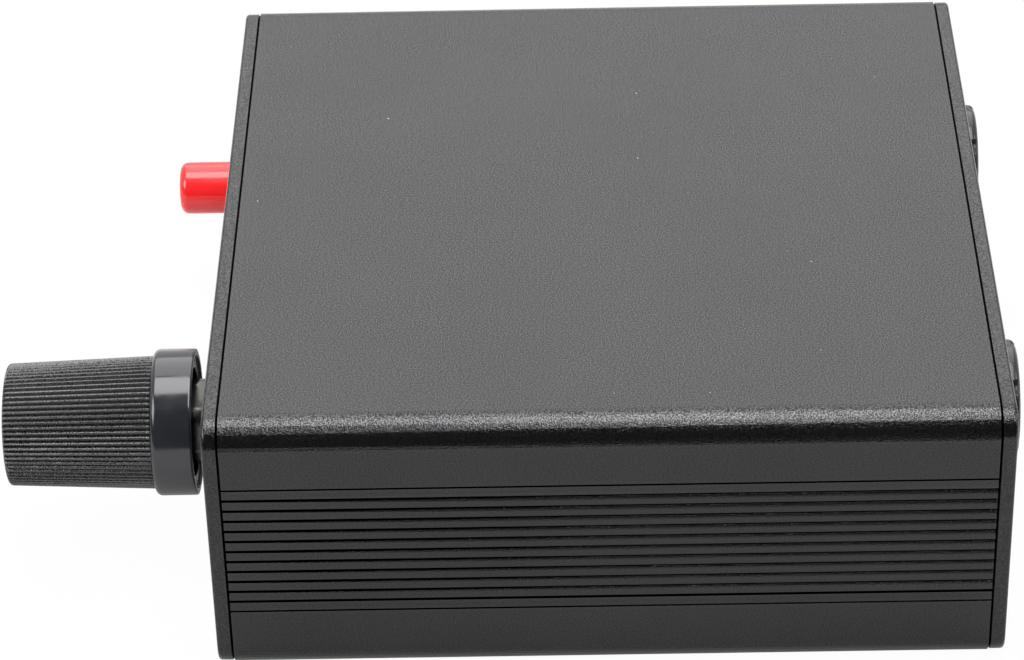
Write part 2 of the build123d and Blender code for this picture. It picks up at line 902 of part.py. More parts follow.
def boardHolePlaces():
    places = standingLeadPlaces() + chipLegPlaces() + switchPinPlaces() + leafTailPlaces() + inletPinPlaces()
    places += [(x, waferBack() - lead_width / 2) for x in lugColumns()]
    for x, y in resistorPlaces():
        places += pairOf(x, y, resistor_lead_pitch)
    return places


def makeBoard():
    board = Rectangle(board_width, board_length)
    for x, y in boardHolePlaces():
        board -= Pos(x, y) * Rectangle(lead_hole_width, lead_hole_width)
    return upright(board, board_underside, board_top)


save(makeHousing(), "housing")
save(makeFrontPlate(), "front_plate")
save(makeRearPlate(), "rear_plate")
save(makeScrews(front_outside, 1), "front_screws")
save(makeScrews(rear_outside, -1), "rear_screws")
save(makeBoard(), "circuit_board")
save(makeBushing(), "pot_bushing")
save(makeWafer(), "pot_wafer")
save(makeControlLugs(), "pot_lugs")
save(makeCover(), "pot_cover")
save(makeWiper(), "pot_wiper")
save(makeShaft(), "pot_shaft")
save(makeControlWasher(), "pot_washer")
save(makeControlNut(), "pot_nut")
save(makeKnob(), "knob")
save(makeButton(), "button_cap")
save(makePlunger(), "switch_plunger")
save(makeBridge(), "switch_bridge")
save(makeSwitchPins(), "switch_pins")
save(makeSwitchBody(), "switch_body")
save(makeSpring(), "switch_spring")
for jack, place in jack_places.items():
    save(makeJackBody(place), f"{jack}_body")
    save(makeLeaf(place, 1, tip_leaf_setback), f"{jack}_tip_contact")
    save(makeLeaf(place, -1, sleeve_leaf_setback), f"{jack}_sleeve_contact")
    save(makeJackWasher(place), f"{jack}_washer")
    save(makeJackNut(place), f"{jack}_nut")
save(makeInletBody(), "dc_socket_body")
save(makeInletPin(), "dc_socket_pin")
save(makeInletLeaf(), "dc_socket_spring")
save(makeChip(), "preamp_chip")
save(makeChipLegs(), "chip_legs")
save(Compound(children=[makeCan(x, y) for x, y in canPlaces()]), "filter_capacitors")
save(Compound(children=[makeFilm(x, y) for x, y in filmPlaces()]), "coupling_capacitors")
save(Compound(children=[makeResistor(x, y) for x, y in resistorPlaces()]), "resistors")
save(makeComponentLeads(), "component_leads")
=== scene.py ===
import json
import math
import bmesh
import bpy
from mathutils import Matrix, Vector


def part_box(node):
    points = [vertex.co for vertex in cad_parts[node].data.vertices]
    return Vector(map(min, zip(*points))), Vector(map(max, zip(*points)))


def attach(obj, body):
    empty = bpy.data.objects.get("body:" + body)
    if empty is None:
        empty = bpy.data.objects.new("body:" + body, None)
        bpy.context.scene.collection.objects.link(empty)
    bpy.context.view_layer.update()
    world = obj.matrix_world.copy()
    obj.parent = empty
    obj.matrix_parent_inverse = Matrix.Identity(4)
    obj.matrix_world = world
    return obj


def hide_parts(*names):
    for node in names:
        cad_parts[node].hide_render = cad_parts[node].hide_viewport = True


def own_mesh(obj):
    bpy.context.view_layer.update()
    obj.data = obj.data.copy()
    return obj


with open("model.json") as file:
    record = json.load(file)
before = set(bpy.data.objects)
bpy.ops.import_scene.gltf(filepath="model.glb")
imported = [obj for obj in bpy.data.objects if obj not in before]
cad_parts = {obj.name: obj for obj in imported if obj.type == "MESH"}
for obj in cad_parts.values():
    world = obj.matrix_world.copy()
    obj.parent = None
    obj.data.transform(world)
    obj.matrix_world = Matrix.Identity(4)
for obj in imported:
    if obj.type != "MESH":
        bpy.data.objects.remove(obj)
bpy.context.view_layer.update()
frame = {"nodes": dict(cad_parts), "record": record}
nodes = frame["nodes"]
print("stage: CAD frame loaded,", len(nodes), "nodes")

mm = 0.001  # sizes in the dictionaries are millimetres unless they say otherwise
mergeGap = 1e-7  # corners nearer than this become one, in metres
sameLevel = 1e-6  # corners within this of a face lie on it, in metres
sharpAngle = 32.0  # edges that bend more than this are shaded sharp, in degrees


# Camera: matched to the photograph, long lens, no shift
cameraSetup = {
    "lens": 137.692,
    "sensor": 36.0,
    "place": (0.40703, -0.00417, 0.304361),
    "turn": (54.6407, 1.261, 90.1576),
    "near": 0.01,
    "far": 20.0,
}


def makeCamera(setup):
    data = bpy.data.cameras.new("studioCamera")
    data.lens = setup["lens"]
    data.sensor_width = setup["sensor"]
    data.sensor_fit = "HORIZONTAL"
    data.clip_start = setup["near"]
    data.clip_end = setup["far"]
    camera = bpy.data.objects.new("studioCamera", data)
    camera.location = setup["place"]
    camera.rotation_euler = [math.radians(a) for a in setup["turn"]]
    bpy.context.scene.collection.objects.link(camera)
    bpy.context.scene.camera = camera


makeCamera(cameraSetup)
print("stage: camera set")


# Node helpers
def startGroup(name, takes, gives):
    # takes lists (label, kind, default) and gives lists (label, kind)
    group = bpy.data.node_groups.new(name, "ShaderNodeTree")
    for label, kind, value in takes:
        socket = group.interface.new_socket(label, in_out="INPUT", socket_type="NodeSocket" + kind)
        socket.default_value = value
    for label, kind in gives:
        group.interface.new_socket(label, in_out="OUTPUT", socket_type="NodeSocket" + kind)
    return group, group.nodes.new("NodeGroupInput"), group.nodes.new("NodeGroupOutput")


def add(tree, kind, **settings):
    node = tree.nodes.new(kind)
    for key, value in settings.items():
        setattr(node, key, value)
    return node


def join(tree, source, target):
    tree.links.new(source, target)


def noise(tree, vector, scale, detail=2.0, rough=0.5):
    node = add(tree, "ShaderNodeTexNoise")
    join(tree, vector, node.inputs["Vector"])
    if isinstance(scale, (int, float)):
        node.inputs["Scale"].default_value = scale
    else:
        join(tree, scale, node.inputs["Scale"])
    node.inputs["Detail"].default_value = detail
    node.inputs["Roughness"].default_value = rough
    return node


def mathNode(tree, operation, first, second):
    node = add(tree, "ShaderNodeMath", operation=operation)
    for place, value in ((0, first), (1, second)):
        if isinstance(value, (int, float)):
            node.inputs[place].default_value = value
        else:
            join(tree, value, node.inputs[place])
    return node.outputs[0]


def spread(tree, value, low, high, newLow=0.0, newHigh=1.0):
    node = add(tree, "ShaderNodeMapRange", clamp=True)
    join(tree, value, node.inputs["Value"])
    for label, number in (("From Min", low), ("From Max", high), ("To Min", newLow), ("To Max", newHigh)):
        if isinstance(number, (int, float)):
            node.inputs[label].default_value = number
        else:
            join(tree, number, node.inputs[label])
    return node.outputs["Result"]


def blendColour(tree, share, first, second):
    node = add(tree, "ShaderNodeMix", data_type="RGBA")
    for place, value in ((0, share), (6, first), (7, second)):
        if isinstance(value, (int, float, tuple)):
            node.inputs[place].default_value = value
        else:
            join(tree, value, node.inputs[place])
    return node.outputs[2]


# Shared effects: the fine even pits of a bead-blasted skin, with a slow cloud under them; on faces that face
# up the pits' colour speckle is stronger, partly painted glint
blastLook = {
    "grain": (0.6, 0.6),  # detail and roughness of the noise
    "cloud": (3.0, 0.55),
    "uprightSpan": (0.05, 0.5),  # the colour speckle, partly painted glint, and the bump reach full strength over this span of a normal's Z
    "middle": 0.5,
    "pitSpan": (0.38, 0.62),
    "cloudSpan": (0.3, 0.7),
    "pitShare": 0.94,
    "cloudShare": 0.06,
}


def makeBlastGroup(look):
    group, entry, leave = startGroup(
        "blastedSkin",
        [("Dark", "Color", (0.01, 0.01, 0.011, 1)), ("Light", "Color", (0.02, 0.02, 0.021, 1)),
         ("Grain Scale", "Float", 3200.0), ("Cloud Scale", "Float", 90.0),
         ("Rough Low", "Float", 0.38), ("Rough High", "Float", 0.5), ("Side Grain", "Float", 1.0)],
        [("Color", "Color"), ("Roughness", "Float"), ("Height", "Float")])
    texture = add(group, "ShaderNodeTexCoord")
    coords = texture.outputs["Object"]
    grain = noise(group, coords, entry.outputs["Grain Scale"], *look["grain"])
    cloud = noise(group, coords, entry.outputs["Cloud Scale"], *look["cloud"])
    # the colour speckle and the bump are weaker on upright faces; the full speckle on faces that face up is
    # partly painted glint of the pits in the light from above
    facing = add(group, "ShaderNodeSeparateXYZ")
    join(group, texture.outputs["Normal"], facing.inputs[0])
    depth = spread(group, facing.outputs["Z"], *look["uprightSpan"], entry.outputs["Side Grain"], 1.0)
    offMiddle = mathNode(group, "SUBTRACT", grain.outputs["Fac"], look["middle"])
    relief = mathNode(group, "ADD", look["middle"], mathNode(group, "MULTIPLY", offMiddle, depth))
    # the speckle share: real pits, with painted glint where the faces face up
    pitsAndGlint = mathNode(group, "MULTIPLY", spread(group, relief, *look["pitSpan"]), look["pitShare"])
    clouds = mathNode(group, "MULTIPLY", spread(group, cloud.outputs["Fac"], *look["cloudSpan"]),
                      look["cloudShare"])
    share = mathNode(group, "ADD", pitsAndGlint, clouds)
    join(group, blendColour(group, share, entry.outputs["Dark"], entry.outputs["Light"]),
         leave.inputs["Color"])
    join(group, spread(group, share, 0.0, 1.0, entry.outputs["Rough Low"], entry.outputs["Rough High"]),
         leave.inputs["Roughness"])
    join(group, relief, leave.inputs["Height"])
    return group


# a few pale dust specks and fibres; the mask is 1 on a speck
dustLook = {"warpScale": 900.0, "warpDetail": 2.0, "warpReach": 0.0009, "sizeSpan": (0.3, 1.0)}


def makeDustGroup(look):
    group, entry, leave = startGroup(
        "looseDust",
        [("Scale", "Float", 260.0), ("Amount", "Float", 0.5), ("Size", "Float", 0.05)],
        [("Mask", "Float")])
    coords = add(group, "ShaderNodeTexCoord").outputs["Object"]
    warp = noise(group, coords, look["warpScale"], look["warpDetail"])
    bent = add(group, "ShaderNodeVectorMath", operation="MULTIPLY_ADD")
    join(group, warp.outputs["Color"], bent.inputs[0])
    bent.inputs[1].default_value = [look["warpReach"]] * 3
    join(group, coords, bent.inputs[2])
    cells = add(group, "ShaderNodeTexVoronoi", feature="F1")
    join(group, bent.outputs[0], cells.inputs["Vector"])
    join(group, entry.outputs["Scale"], cells.inputs["Scale"])
    pick = add(group, "ShaderNodeSeparateColor")
    join(group, cells.outputs["Color"], pick.inputs[0])
    chosen = mathNode(group, "LESS_THAN", pick.outputs["Red"], entry.outputs["Amount"])
    size = mathNode(group, "MULTIPLY", entry.outputs["Size"],
                    spread(group, pick.outputs["Green"], 0.0, 1.0, *look["sizeSpan"]))
    near = mathNode(group, "LESS_THAN", cells.outputs["Distance"], size)
    join(group, mathNode(group, "MULTIPLY", chosen, near), leave.inputs["Mask"])
    return group


# moulded plastic: faint flow in the colour, slightly uneven gloss, a soft orange peel
mouldLook = {
    "peelDetail": 2.0,
    "flow": (160.0, 3.0, 0.6),  # scale, detail and roughness of the noise
    "rub": (420.0, 4.0, 0.65),
    "span": (0.3, 0.7),
}


def makeMouldGroup(look):
    group, entry, leave = startGroup(
        "mouldedSkin",
        [("Dark", "Color", (0.01, 0.01, 0.011, 1)), ("Light", "Color", (0.02, 0.02, 0.021, 1)),
         ("Peel Scale", "Float", 900.0), ("Rough Low", "Float", 0.12), ("Rough High", "Float", 0.22)],
        [("Color", "Color"), ("Roughness", "Float"), ("Height", "Float")])
    coords = add(group, "ShaderNodeTexCoord").outputs["Object"]
    peel = noise(group, coords, entry.outputs["Peel Scale"], look["peelDetail"])
    flow = noise(group, coords, *look["flow"])
    rub = noise(group, coords, *look["rub"])
    join(group, blendColour(group, spread(group, flow.outputs["Fac"], *look["span"]),
                            entry.outputs["Dark"], entry.outputs["Light"]), leave.inputs["Color"])
    join(group, spread(group, rub.outputs["Fac"], *look["span"],
                       entry.outputs["Rough Low"], entry.outputs["Rough High"]), leave.inputs["Roughness"])
    join(group, peel.outputs["Fac"], leave.inputs["Height"])
    return group


# plated or turned metal: short scratches drawn out along one axis, patchy tarnish
metalLook = {
    "drawnOut": (0.2, 1.0, 1.0),
    "scratch": (4.0, 0.7),  # detail and roughness of the noise
    "tarnish": (240.0, 4.0, 0.6),  # scale, detail and roughness of the noise
    "tarnishSpan": (0.35, 0.65),
    "scratchShare": 0.5,  # of the roughness; the tarnish has the rest
    "roughSpan": (0.2, 0.8),
}


def makeMetalGroup(look):
    group, entry, leave = startGroup(
        "workedMetal",
        [("Bright", "Color", (0.7, 0.7, 0.69, 1)), ("Dull", "Color", (0.45, 0.44, 0.42, 1)),
         ("Scratch Scale", "Float", 1200.0), ("Rough Low", "Float", 0.14), ("Rough High", "Float", 0.34)],
        [("Color", "Color"), ("Roughness", "Float"), ("Height", "Float")])
    coords = add(group, "ShaderNodeTexCoord").outputs["Object"]
    drawn = add(group, "ShaderNodeMapping")
    drawn.inputs["Scale"].default_value = look["drawnOut"]
    join(group, coords, drawn.inputs["Vector"])
    scratch = noise(group, drawn.outputs[0], entry.outputs["Scratch Scale"], *look["scratch"])
    tarnish = noise(group, coords, *look["tarnish"])
    share = spread(group, tarnish.outputs["Fac"], *look["tarnishSpan"])
    join(group, blendColour(group, share, entry.outputs["Bright"], entry.outputs["Dull"]),
         leave.inputs["Color"])
    mixed = mathNode(group, "ADD", mathNode(group, "MULTIPLY", share, 1 - look["scratchShare"]),
                     mathNode(group, "MULTIPLY", scratch.outputs["Fac"], look["scratchShare"]))
    join(group, spread(group, mixed, *look["roughSpan"],
                       entry.outputs["Rough Low"], entry.outputs["Rough High"]), leave.inputs["Roughness"])
    join(group, scratch.outputs["Fac"], leave.inputs["Height"])
    return group


blastGroup = makeBlastGroup(blastLook)
dustGroup = makeDustGroup(dustLook)
mouldGroup = makeMouldGroup(mouldLook)
metalGroup = makeMetalGroup(metalLook)
print("stage: shared effects made")


# Materials
def makeMaterial(name, group, settings, bump, dust=None, **shader):
    # group's colour, roughness and height drive the shader; bump is (strength, distance in metres)
    finish = bpy.data.materials.new(name)
    finish.use_nodes = True
    tree = finish.node_tree
    tree.nodes.clear()
    out = add(tree, "ShaderNodeOutputMaterial")
    skin = add(tree, "ShaderNodeBsdfPrincipled")
    join(tree, skin.outputs[0], out.inputs["Surface"])
    effect = add(tree, "ShaderNodeGroup", node_tree=group)
    for label, value in settings.items():
        effect.inputs[label].default_value = value
    colour = effect.outputs["Color"]
    roughness = effect.outputs["Roughness"]
    if dust:
        specks = add(tree, "ShaderNodeGroup", node_tree=dustGroup)
        for label, value in dust["settings"].items():
            specks.inputs[label].default_value = value
        colour = blendColour(tree, specks.outputs["Mask"], colour, dust["colour"])
        dull = mathNode(tree, "MULTIPLY", specks.outputs["Mask"], dust["rough"])
        roughness = mathNode(tree, "MAXIMUM", roughness, dull)
    join(tree, colour, skin.inputs["Base Color"])
    join(tree, roughness, skin.inputs["Roughness"])
    relief = add(tree, "ShaderNodeBump")
    relief.inputs["Strength"].default_value = bump[0]
    relief.inputs["Distance"].default_value = bump[1]
    join(tree, effect.outputs["Height"], relief.inputs["Height"])
    join(tree, relief.outputs[0], skin.inputs["Normal"])
    for label, value in shader.items():
        skin.inputs[label.replace("_", " ")].default_value = value
    return finish


speckDust = {
    "settings": {"Scale": 380.0, "Amount": 0.2, "Size": 0.035},
    "colour": (0.32, 0.32, 0.31, 1),
    "rough": 0.9,
}

anodisedBody = makeMaterial(
    "anodisedBody", blastGroup,
    {"Dark": (0.02, 0.02, 0.02, 1), "Light": (0.064, 0.064, 0.066, 1), "Grain Scale": 6000.0,
     "Cloud Scale": 70.0, "Rough Low": 0.14, "Rough High": 0.18, "Side Grain": 0.35},
    (0.9, 0.00004), speckDust, Metallic=1.0)
anodisedPlate = makeMaterial(
    "anodisedPlate", blastGroup,
    {"Dark": (0.02, 0.02, 0.02, 1), "Light": (0.064, 0.064, 0.066, 1), "Grain Scale": 6000.0,
     "Cloud Scale": 60.0, "Rough Low": 0.14, "Rough High": 0.18, "Side Grain": 0.35},
    (0.9, 0.00004), speckDust, Metallic=1.0)
blackSteel = makeMaterial(
    "blackSteel", metalGroup,
    {"Bright": (0.09, 0.09, 0.095, 1), "Dull": (0.045, 0.045, 0.047, 1), "Scratch Scale": 2200.0,
     "Rough Low": 0.25, "Rough High": 0.42},
    (0.15, 0.00002), Metallic=0.9)
boardGreen = makeMaterial(
    "boardGreen", mouldGroup,
    {"Dark": (0.012, 0.075, 0.03, 1), "Light": (0.02, 0.11, 0.045, 1), "Peel Scale": 1500.0,
     "Rough Low": 0.25, "Rough High": 0.4},
    (0.2, 0.00003))
castZinc = makeMaterial(
    "castZinc", metalGroup,
    {"Bright": (0.6, 0.6, 0.59, 1), "Dull": (0.42, 0.41, 0.4, 1), "Scratch Scale": 1500.0,
     "Rough Low": 0.25, "Rough High": 0.45},
    (0.3, 0.00003), Metallic=1.0)
brownLaminate = makeMaterial(
    "brownLaminate", mouldGroup,
    {"Dark": (0.12, 0.05, 0.018, 1), "Light": (0.2, 0.09, 0.035, 1), "Peel Scale": 2600.0,
     "Rough Low": 0.4, "Rough High": 0.6},
    (0.3, 0.00003))
tinnedLead = makeMaterial(
    "tinnedLead", metalGroup,
    {"Bright": (0.78, 0.77, 0.75, 1), "Dull": (0.56, 0.55, 0.53, 1), "Scratch Scale": 3000.0,
     "Rough Low": 0.2, "Rough High": 0.38},
    (0.15, 0.00002), Metallic=1.0)
platedSteel = makeMaterial(
    "platedSteel", metalGroup,
    {"Bright": (0.66, 0.66, 0.65, 1), "Dull": (0.47, 0.46, 0.45, 1), "Scratch Scale": 2000.0,
     "Rough Low": 0.18, "Rough High": 0.36},
    (0.2, 0.00002), Metallic=1.0)
innerPlastic = makeMaterial(
    "innerPlastic", mouldGroup,
    {"Dark": (0.01, 0.01, 0.01, 1), "Light": (0.022, 0.022, 0.022, 1), "Peel Scale": 1800.0,
     "Rough Low": 0.35, "Rough High": 0.55},
    (0.2, 0.00003))
brightMetal = makeMaterial(
    "brightMetal", metalGroup,
    {"Bright": (0.6, 0.59, 0.57, 1), "Dull": (0.36, 0.35, 0.33, 1), "Scratch Scale": 2400.0,
     "Rough Low": 0.12, "Rough High": 0.3},
    (0.18, 0.00002), Metallic=1.0)
# nickel darkened far below real metal: painted shade for the nut in the knob's hollow
nickelPaintedShade = makeMaterial(
    "nickelPaintedShade", metalGroup,
    {"Bright": (0.1, 0.098, 0.09, 1), "Dull": (0.03, 0.03, 0.027, 1), "Scratch Scale": 1600.0,
     "Rough Low": 0.12, "Rough High": 0.26},
    (0.3, 0.00003), Metallic=1.0)
knobRibbed = makeMaterial(
    "knobRibbed", blastGroup,
    {"Dark": (0.008, 0.008, 0.008, 1), "Light": (0.05, 0.05, 0.051, 1), "Grain Scale": 5200.0,
     "Cloud Scale": 110.0, "Rough Low": 0.17, "Rough High": 0.27, "Side Grain": 0.4},
    (0.9, 0.00005), speckDust, IOR=1.6)
# the base ring is the same black plastic as the knob; its grey colour is painted light on that face
knobBasePaintedLight = makeMaterial(
    "knobBasePaintedLight", mouldGroup,
    {"Dark": (0.07, 0.07, 0.072, 1), "Light": (0.12, 0.12, 0.124, 1), "Peel Scale": 2200.0,
     "Rough Low": 0.16, "Rough High": 0.28},
    (0.3, 0.00003), IOR=1.55)
knobGloss = makeMaterial(
    "knobGloss", mouldGroup,
    {"Dark": (0.007, 0.008, 0.011, 1), "Light": (0.012, 0.013, 0.018, 1), "Peel Scale": 700.0,
     "Rough Low": 0.1, "Rough High": 0.19},
    (0.12, 0.00003), IOR=1.6)
redGloss = makeMaterial(
    "redGloss", mouldGroup,
    {"Dark": (0.83, 0.01, 0.012, 1), "Light": (0.89, 0.015, 0.017, 1), "Peel Scale": 600.0,
     "Rough Low": 0.16, "Rough High": 0.24},
    (0.1, 0.00003), IOR=1.6)
springBrass = makeMaterial(
    "springBrass", metalGroup,
    {"Bright": (0.78, 0.56, 0.25, 1), "Dull": (0.55, 0.38, 0.17, 1), "Scratch Scale": 2600.0,
     "Rough Low": 0.16, "Rough High": 0.34},
    (0.15, 0.00002), Metallic=1.0)
jackPlastic = makeMaterial(
    "jackPlastic", mouldGroup,
    {"Dark": (0.008, 0.008, 0.009, 1), "Light": (0.014, 0.014, 0.015, 1), "Peel Scale": 800.0,
     "Rough Low": 0.14, "Rough High": 0.26},
    (0.12, 0.00003), IOR=1.52)
canSleeve = makeMaterial(
    "canSleeve", mouldGroup,
    {"Dark": (0.008, 0.01, 0.035, 1), "Light": (0.014, 0.018, 0.055, 1), "Peel Scale": 900.0,
     "Rough Low": 0.16, "Rough High": 0.28},
    (0.15, 0.00003))
filmBox = makeMaterial(
    "filmBox", mouldGroup,
    {"Dark": (0.42, 0.12, 0.015, 1), "Light": (0.55, 0.17, 0.025, 1), "Peel Scale": 1100.0,
     "Rough Low": 0.22, "Rough High": 0.36},
    (0.15, 0.00003))
resistorBlue = makeMaterial(
    "resistorBlue", mouldGroup,
    {"Dark": (0.06, 0.2, 0.32, 1), "Light": (0.09, 0.27, 0.4, 1), "Peel Scale": 1400.0,
     "Rough Low": 0.25, "Rough High": 0.4},
    (0.15, 0.00003))
pointerPaint = makeMaterial(
    "pointerPaint", mouldGroup,
    {"Dark": (0.62, 0.62, 0.6, 1), "Light": (0.72, 0.72, 0.7, 1), "Peel Scale": 3000.0,
     "Rough Low": 0.4, "Rough High": 0.6},
    (0.2, 0.00003))
print("stage: materials made")

slotFinish = {
    "anodised_body": anodisedBody, "anodised_plate": anodisedPlate, "black_steel": blackSteel,
    "board": boardGreen, "zinc": castZinc, "phenolic": brownLaminate, "tinned": tinnedLead,
    "plated_steel": platedSteel, "inner_plastic": innerPlastic, "bright_metal": brightMetal,
    "knob_plastic": knobRibbed, "red_plastic": redGloss, "spring_brass": springBrass,
    "jack_plastic": jackPlastic, "can_sleeve": canSleeve, "film_box": filmBox,
    "resistor_body": resistorBlue,
}

nodeSlot = {part["node"]: part["material_slot"] for part in frame["record"]["subparts"]}
for nodeName, nodeObject in nodes.items():
    nodeObject.data.materials.clear()
    nodeObject.data.materials.append(slotFinish[nodeSlot[nodeName]])
print("stage: finishes given to the CAD nodes")


# Mesh helpers
def flattenShading(piece):
    # the widest faces set the shading, so flats stay flat beside their rounded edges
    flat = piece.modifiers.new("flatShading", "WEIGHTED_NORMAL")
    flat.keep_sharp = True


def finishPiece(bm, name, body, finishes, node, sharp=sharpAngle):
    # makes the bmesh a piece that rides on a body and stands in for a CAD node
    mesh = bpy.data.meshes.new(name)
    bmesh.ops.remove_doubles(bm, verts=bm.verts, dist=mergeGap)
    bmesh.ops.recalc_face_normals(bm, faces=bm.faces)
    bm.to_mesh(mesh)
    bm.free()
    mesh.shade_smooth()
    mesh.set_sharp_from_angle(angle=math.radians(sharp))
    for finish in finishes:
        mesh.materials.append(finish)
    piece = bpy.data.objects.new(name, mesh)
    bpy.context.scene.collection.objects.link(piece)
    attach(piece, body)
    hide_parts(node)
    flattenShading(piece)
    return piece


def spinPoints(bm, points, centre, steps):
    # turns (radius, y) points about the Y line through centre
    x, z = centre
    corners = [bm.verts.new((x + r * mm, y * mm, z)) for r, y in points]
    edges = [bm.edges.new(pair) for pair in zip(corners[:-1], corners[1:])]
    bmesh.ops.spin(bm, geom=corners + edges, cent=(x, 0, z), axis=(0, 1, 0), dvec=(0, 0, 0),
                   angle=math.tau, steps=steps, use_merge=True, use_duplicate=False)


def arcPoints(centre, radius, fromAngle, toAngle, steps):
    # (radius, y) points on an arc; angles in degrees, 0 is outwards and 90 is towards +Y
    points = []
    for step in range(steps + 1):
        angle = math.radians(fromAngle + (toAngle - fromAngle) * step / steps)
        points.append((centre[0] + radius * math.cos(angle), centre[1] + radius * math.sin(angle)))
    return points


def middleOf(node):
    low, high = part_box(node)
    return (low[0] + high[0]) / 2, (low[2] + high[2]) / 2


def ringSweep(bm, centre, rings, steps, shape=None):
    # rings of (radius, y, share) about the Y line through centre, each extruded from the last;
    # shape(step, radius, share) gives the reach of a ring that isn't round
    x, z = 0.0, 0.0  # the first circle is made round the origin
    quarter = Matrix.Rotation(math.pi / 2, 4, "X")
    loop = set(bmesh.ops.create_circle(bm, segments=steps, radius=mm, matrix=quarter)["verts"])
    for ringNumber, (radius, y, share) in enumerate(rings):
        if ringNumber:
            edges = [e for e in bm.edges if e.verts[0] in loop and e.verts[1] in loop]
            grown = bmesh.ops.extrude_edge_only(bm, edges=edges)["geom"]
            loop = {item for item in grown if isinstance(item, bmesh.types.BMVert)}
        order = sorted(loop, key=lambda v: math.atan2(v.co.z - z, v.co.x - x) % math.tau)
        x, z = centre
        for step, corner in enumerate(order):
            reach = shape(step, radius, share) if shape else radius
            angle = math.tau * step / steps
            corner.co = Vector((x + reach * mm * math.cos(angle), y * mm, z + reach * mm * math.sin(angle)))


def carve(piece, cutters):
    # cuts the cutters out of the piece for good and removes them
    piece.modifiers.clear()
    for cutter in cutters:
        cutting = piece.modifiers.new("cut", "BOOLEAN")
        cutting.operation = "DIFFERENCE"
        cutting.solver = "EXACT"
        cutting.material_mode = "TRANSFER"
        cutting.object = cutter
    depsgraph = bpy.context.evaluated_depsgraph_get()
    mesh = bpy.data.meshes.new_from_object(piece.evaluated_get(depsgraph))
    piece.modifiers.clear()
    old = piece.data
    piece.data = mesh
    mesh.name = old.name
    for cutter in cutters:
        bpy.data.objects.remove(cutter)
    mesh.shade_smooth()
    mesh.set_sharp_from_angle(angle=math.radians(sharpAngle))
    flattenShading(piece)


def cutterFrom(bm, name, finish=None):
    mesh = bpy.data.meshes.new(name)
    bmesh.ops.recalc_face_normals(bm, faces=bm.faces)
    bm.to_mesh(mesh)
    bm.free()
    if finish:
        mesh.materials.append(finish)
    cutter = bpy.data.objects.new(name, mesh)
    bpy.context.scene.collection.objects.link(cutter)
    return cutter


# Housing: a copy of the extrusion, with its side grooves brought to the width the photograph shows
housingMake = {
    "solidDepth": 0.6,  # how deep the copied grooves are
    "firstGroove": 10.9,
    "pitch": 1.5,
    "grooves": 11,
    "width": 0.37,
    "floorWidth": 0.34,
    "depth": 0.4,
    "near": 0.01,
}


def makeHousing(make):
    bm = bmesh.new()
    bm.from_mesh(nodes["housing"].data)
    bmesh.ops.remove_doubles(bm, verts=bm.verts, dist=mergeGap)
    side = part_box("housing")[1][0] / mm
    for corner in bm.verts:
        reach, height = abs(corner.co.x) / mm, corner.co.z / mm
        groove = round((height - make["firstGroove"]) / make["pitch"])
        if reach < side - make["solidDepth"] - make["near"] or not 0 <= groove < make["grooves"]:
            continue
        middle = make["firstGroove"] + groove * make["pitch"]
        onFloor = reach < side - make["near"]
        half = (make["floorWidth"] if onFloor else make["width"]) / 2
        corner.co.z = (middle + math.copysign(half, height - middle)) * mm
        if onFloor:
            corner.co.x = math.copysign((side - make["depth"]) * mm, corner.co.x)
    finishPiece(bm, "housingExtrusion", "case", [anodisedBody], "housing")


makeHousing(housingMake)
print("stage: housing made")


# Knob: ribbed grip, glossy skirt, recessed base whose ring is grey with painted light
knobMake = {
    "skirtRadius": 9.0,
    "baseReach": 0.4,
    "skirtLength": 5.1,
    "skirtRound": 0.75,
    "skirtRoundSteps": 6,
    "skirtHold": 0.12,
    "soft": 0.12,
    "lip": 0.08,
    "ringRadius": 8.2,
    "ringStep": 0.3,
    "hollowRadius": 6.7,
    "hollowDepth": 3.3,
    "boreRadius": 3.02,
    "boreDepth": 13.4,
    "axisRadius": 0.02,  # the first and last ring close round the axis
    "axisMerge": 0.005,
    "rootRadius": 8.16,
    "ledge": 0.1,
    "gripEdge": 0.01,  # the ribbed finish starts this far past the skirt
    "ribFoot": 0.03,
    "ribRise": (0.02, 0.4),
    "tipRadius": 7.5,
    "tipRound": 0.45,
    "tipShares": (1, 0.9, 0.5, 0),  # the ribs run out over the tip's rounded edge
    "ribs": 72,
    "ribDepth": 0.42,
    "ribShape": (1.0, 0.4, 0.0, 0.0, 0.0, 0.4),  # depth shares across one rib, groove first
    "dishRadius": 6.3,
    "dishEdge": 0.2,
    "dishDepth": 0.15,
    "dishRing": 3.0,
    "pointer": (0.8, 4.5, 0.4),  # width, length and depth
    "pointerMargin": 0.8,
}


